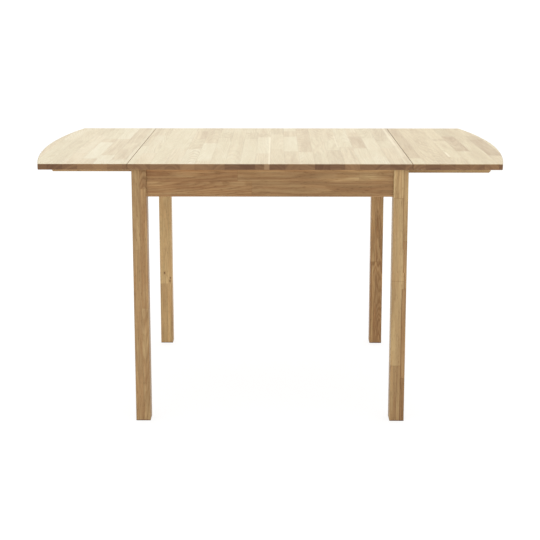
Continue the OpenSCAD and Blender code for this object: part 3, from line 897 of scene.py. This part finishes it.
class TABLE_OT_add_screws(bpy.types.Operator):
    """Pan head screws in the holes of the corner plates and the angle brackets"""

    bl_idname = "table.add_screws"
    bl_label = "Add the screws"

    def execute(self, context):
        material = zinc("zinc screw", 1.05)
        place_screws("plate_screws", self.plate_seats(), material)
        place_screws("bracket_screws", self.bracket_seats(), material)
        return {"FINISHED"}

    def plate_seats(self):
        """Two screws, one above the other, in both flanges of each corner plate."""
        lip, thick, flange = 0.007, 0.002, 0.028
        seats = []
        for sx in (-1, 1):
            for sy in (-1, 1):
                name = "corner_plate_%s_%s" % ("rear" if sy > 0 else "front",
                                               "right" if sx > 0 else "left")
                lo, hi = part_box(name)
                size = hi - lo
                wall_x = (hi.x - lip) if sx > 0 else (lo.x + lip)
                wall_y = (hi.y - lip) if sy > 0 else (lo.y + lip)
                along = size.x - lip - flange / 2
                for share in (-0.25, 0.25):
                    z = (lo.z + hi.z) / 2 + share * size.z
                    seats.append(((wall_x - sx * along, wall_y - sy * thick, z), (0, -sy, 0)))
                    seats.append(((wall_x - sx * thick, wall_y - sy * along, z), (-sx, 0, 0)))
        return seats

    def bracket_seats(self):
        """Two screws into the apron and one up into the top, at each angle bracket."""
        side, thick, apart = 0.028, 0.002, 0.0125
        down, out = side * 0.64, side * 0.58
        seats = []
        for name in starting("bracket_"):
            lo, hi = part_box(name)
            axis = 0 if "end" in name else 1
            s = 1 if lo[axis] + hi[axis] > 0 else -1
            wall = hi[axis] if s > 0 else lo[axis]
            inwards = Vector((0, 0, 0))
            inwards[axis] = -s
            for k in (-0.5, 0.5):
                at = (lo + hi) / 2
                at[axis] = wall - s * thick
                at[1 - axis] += k * apart
                at.z = hi.z - down
                seats.append((at, inwards))
            at = (lo + hi) / 2
            at[axis] = wall - s * out
            at.z = hi.z - thick
            seats.append((at, (0, 0, -1)))
        return seats


# Studio

class TABLE_OT_set_stage(bpy.types.Operator):
    """Pale floor, soft even light and the camera"""

    bl_idname = "table.set_stage"
    bl_label = "Set the stage"

    def execute(self, context):
        scene, s = context.scene, context.scene.table_stage
        self.lay_floor(scene, s)
        self.light_dome(scene, s)
        self.hang_panel(scene, s)
        self.place_camera(scene, s)
        scene.view_settings.view_transform = "Standard"
        scene.view_settings.look = "None"
        return {"FINISHED"}

    def lay_floor(self, scene, s):
        """A pale matt floor just below the feet.

        It glows, so that it runs into the white background, and for the camera it glows
        more than for the light that it throws on the table.
        """
        m, w, shader = new_material("pale floor")
        place = w.node("ShaderNodeTexCoord").outputs["Object"]
        mottle = w.ease(w.noise(place, scale=0.7, detail=2.0), 0.2, 0.8, 0.995, 1.0)
        white = w.math("MULTIPLY", mottle, s.floor_white)
        w.feed(shader.inputs["Base Color"], w.join(white, white, white))
        shader.inputs["Roughness"].default_value = 1.0
        shader.inputs["Specular IOR Level"].default_value = 0.0
        glow = w.node("ShaderNodeEmission")
        blend = w.node("ShaderNodeMixShader")
        seen = w.node("ShaderNodeLightPath").outputs["Is Camera Ray"]
        strength = w.math("MULTIPLY_ADD", seen, 0.03, 1.02)
        share = w.math("MULTIPLY_ADD", seen, 0.40, 0.42)
        w.feed(glow.inputs["Strength"], strength)
        w.feed(blend.inputs[0], share)
        w.feed(blend.inputs[1], shader.outputs[0])
        w.feed(blend.inputs[2], glow.outputs[0])
        out = next(n for n in m.node_tree.nodes if n.type == "OUTPUT_MATERIAL")
        w.feed(out.inputs["Surface"], blend.outputs[0])
        half = s.floor_size / 2
        mesh = bpy.data.meshes.new("studio_floor")
        corners = [(-half, -half, 0), (half, -half, 0), (half, half, 0), (-half, half, 0)]
        mesh.from_pydata(corners, [], [(0, 1, 2, 3)])
        mesh.materials.append(m)
        floor = bpy.data.objects.new("studio_floor", mesh)
        floor.location.z = -0.0005
        scene.collection.objects.link(floor)

    def light_dome(self, scene, s):
        """Even light all round, with more from above, behind and the front."""
        world = bpy.data.worlds.new("studio dome")
        scene.world = world
        world.use_nodes = True
        sky = Web(world.node_tree)
        back = world.node_tree.nodes["Background"]
        back.inputs["Color"].default_value = (1.0, 1.0, 1.0, 1.0)
        way = sky.split(sky.node("ShaderNodeTexCoord").outputs["Generated"])
        above = sky.ease(way[2], -0.05, 0.9, 0.0, s.overhead)
        behind = sky.ease(way[1], -0.2, 0.9, 0.0, s.backdrop)
        before = sky.ease(way[1], 0.1, -0.9, 0.0, s.front)
        lit = sky.math("ADD", sky.math("ADD", s.dome, before), sky.math("ADD", above, behind))
        seen = sky.node("ShaderNodeLightPath").outputs["Is Camera Ray"]
        white = sky.math("MULTIPLY", seen, 1.2)
        sky.feed(back.inputs["Strength"], sky.math("MAXIMUM", lit, white))

    def hang_panel(self, scene, s):
        """A large square lamp above the table, aimed at its top."""
        at, aim = Vector((0.0, 0.6, 3.2)), Vector((0.0, 0.0, 0.7))
        data = bpy.data.lights.new("top_panel", "AREA")
        data.shape = "SQUARE"
        data.size = 3.0
        data.energy = s.panel
        o = bpy.data.objects.new("top_panel", data)
        o.location = at
        o.rotation_euler = (aim - at).to_track_quat("-Z", "Y").to_euler()
        scene.collection.objects.link(o)

    def place_camera(self, scene, s):
        """A camera that looks a little down, with a modest shift."""
        data = bpy.data.cameras.new("photo_camera")
        data.sensor_width = 36.0
        data.sensor_fit = "AUTO"
        data.lens = s.focal
        data.shift_y = s.shift
        data.clip_end = 200.0
        camera = bpy.data.objects.new("photo_camera", data)
        camera.location = s.eye
        camera.rotation_euler = (math.pi / 2 - s.tilt, 0.0, s.turn)
        scene.collection.objects.link(camera)
        scene.camera = camera


class TABLE_PT_panel(bpy.types.Panel):
    """Lists the values and the finishes of the table"""

    bl_label = "Table"
    bl_idname = "TABLE_PT_panel"
    bl_space_type = "VIEW_3D"
    bl_region_type = "UI"
    bl_category = "Table"

    def draw(self, context):
        layout = self.layout
        for group in (context.scene.table_oak, context.scene.table_steel,
                      context.scene.table_screw, context.scene.table_stage):
            column = layout.column(align=True)
            for key in group.__annotations__:
                column.prop(group, key)
        for operator in OPERATORS:
            layout.operator(operator.bl_idname)


OPERATORS = (TABLE_OT_finish_top, TABLE_OT_finish_aprons, TABLE_OT_finish_legs,
             TABLE_OT_finish_bars, TABLE_OT_finish_steel, TABLE_OT_add_screws,
             TABLE_OT_set_stage)
GROUPS = {"table_oak": OakSettings, "table_steel": SteelSettings,
          "table_screw": ScrewSettings, "table_stage": StageSettings}


def register():
    for kind in (*GROUPS.values(), *OPERATORS, TABLE_PT_panel):
        bpy.utils.register_class(kind)
    for name, kind in GROUPS.items():
        setattr(bpy.types.Scene, name, bpy.props.PointerProperty(type=kind))


def unregister():
    for name in GROUPS:
        delattr(bpy.types.Scene, name)
    for kind in (TABLE_PT_panel, *reversed(OPERATORS), *GROUPS.values()):
        bpy.utils.unregister_class(kind)


def main():
    register()
    bpy.ops.table.set_stage()
    bpy.ops.table.finish_top()
    bpy.ops.table.finish_aprons()
    bpy.ops.table.finish_legs()
    bpy.ops.table.finish_bars()
    bpy.ops.table.finish_steel()
    bpy.ops.table.add_screws()


if __name__ == "__main__":
    main()
